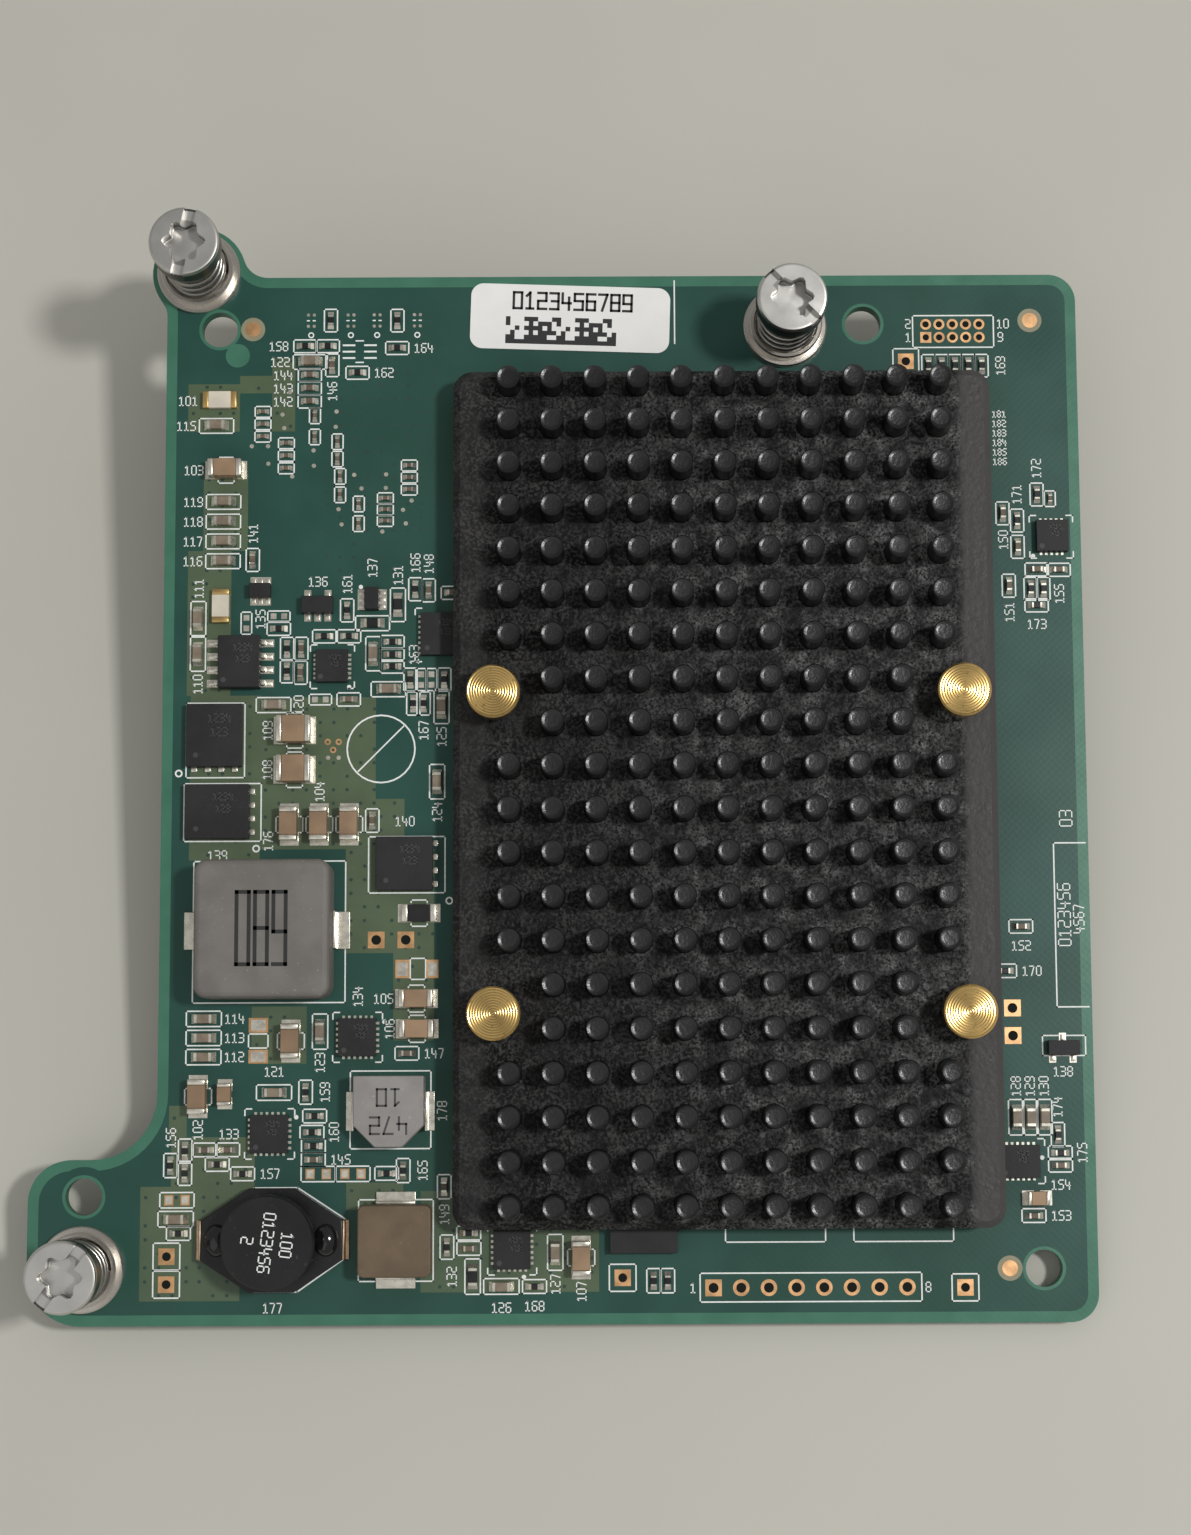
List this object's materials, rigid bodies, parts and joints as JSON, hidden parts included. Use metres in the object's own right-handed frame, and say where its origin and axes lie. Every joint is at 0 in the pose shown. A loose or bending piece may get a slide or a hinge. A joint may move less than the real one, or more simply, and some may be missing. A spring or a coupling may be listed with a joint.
{
  "type": "fibre channel host bus adapter",
  "caption": "Mezzanine card with a black pin-fin heat sink, moulded inductors, chip parts, spring-loaded captive screws and a stacking connector on its underside.",
  "frame": {"origin": "axis of the lower-left alignment hole, on the board's component face", "axes": "+Z out of the component face, +X along the lower edge to the right, +Y up the card"},
  "size_m": [0.0984, 0.1033, 0.0216],
  "materials": {
    "solder_mask": "dark green solder mask over copper",
    "cast_black": "black anodised casting, slightly rough",
    "pad_grey": "soft thermal pad",
    "mould_black": "black moulding compound",
    "brass": "turned brass",
    "spring_steel": "spring wire",
    "nickel": "nickel plated steel",
    "tin": "tin plated",
    "ceramic_tan": "fired ceramic",
    "ferrite_grey": "pressed iron powder",
    "ferrite_brown": "pressed iron powder",
    "resistor_black": "glassy black coat",
    "fuse_white": "white ceramic",
    "gold": "gold plated",
    "paper": "white paper label"
  },
  "bodies": {
    "root": {"capacitor_0805_bodies": "ceramic_tan", "capacitor_0805_ends": "tin", "capacitor_1206_bodies": "ceramic_tan", "capacitor_1206_ends": "tin", "capacitor_1210_bodies": "ceramic_tan", "capacitor_1210_ends": "tin", "capacitors_0201": "ceramic_tan", "capacitors_0402": "ceramic_tan", "capacitors_0603": "ceramic_tan", "circuit_board": "solder_mask", "connector_housing": "mould_black", "connector_wafers": "mould_black", "controller_chip": "mould_black", "cut_inductor_core": "ferrite_grey", "cut_inductor_terminals": "tin", "drum_inductor_core": "mould_black", "drum_inductor_terminals": "tin", "ferrules": "nickel", "flat_chips": "mould_black", "fuse_bodies": "fuse_white", "fuse_ends": "gold", "heat_sink": "cast_black", "label": "paper", "leaded_chip_body": "mould_black", "leaded_chip_legs": "tin", "power_inductor_core": "ferrite_grey", "power_inductor_terminals": "tin", "power_transistor_bodies": "mould_black", "power_transistor_leads": "tin", "push_pin_springs": "spring_steel", "push_pins": "brass", "resistors_0402": "resistor_black", "resistors_0603": "resistor_black", "sense_resistor_body": "resistor_black", "sense_resistor_ends": "tin", "small_package_bodies": "mould_black", "small_package_legs": "tin", "square_inductor_core": "ferrite_brown", "square_inductor_terminals": "tin", "thermal_pad": "pad_grey", "wide_chip": "mould_black"},
    "spring_1": {"captive_spring_1": "spring_steel"},
    "screw_1": {"captive_screw_1": "nickel"},
    "spring_2": {"captive_spring_2": "spring_steel"},
    "screw_2": {"captive_screw_2": "nickel"},
    "spring_3": {"captive_spring_3": "spring_steel"},
    "screw_3": {"captive_screw_3": "nickel"}
  },
  "joints": [
    {"name": "screw_1_press", "type": "slide", "parent": "root", "child": "spring_1", "axis": [0, 0, 1], "range_m": [-0.004, 0], "stiffness_N_per_m": 600, "springref_m": 0.001, "deforming": ["captive_spring_1"]},
    {"name": "screw_1_turn", "type": "hinge", "parent": "spring_1", "child": "screw_1", "pos_m": [0.00966, 0.08719, 0], "axis": [0, 0, 1], "continuous": true},
    {"name": "screw_2_press", "type": "slide", "parent": "root", "child": "spring_2", "axis": [0, 0, 1], "range_m": [-0.004, 0], "stiffness_N_per_m": 600, "springref_m": 0.001, "deforming": ["captive_spring_2"]},
    {"name": "screw_2_turn", "type": "hinge", "parent": "spring_2", "child": "screw_2", "pos_m": [0.06549, 0.08171, 0], "axis": [0, 0, 1], "continuous": true},
    {"name": "screw_3_press", "type": "slide", "parent": "root", "child": "spring_3", "axis": [0, 0, 1], "range_m": [-0.004, 0], "stiffness_N_per_m": 600, "springref_m": 0.001, "deforming": ["captive_spring_3"]},
    {"name": "screw_3_turn", "type": "hinge", "parent": "spring_3", "child": "screw_3", "pos_m": [-0.0001, -0.0066, 0], "axis": [0, 0, 1], "continuous": true}
  ]
}
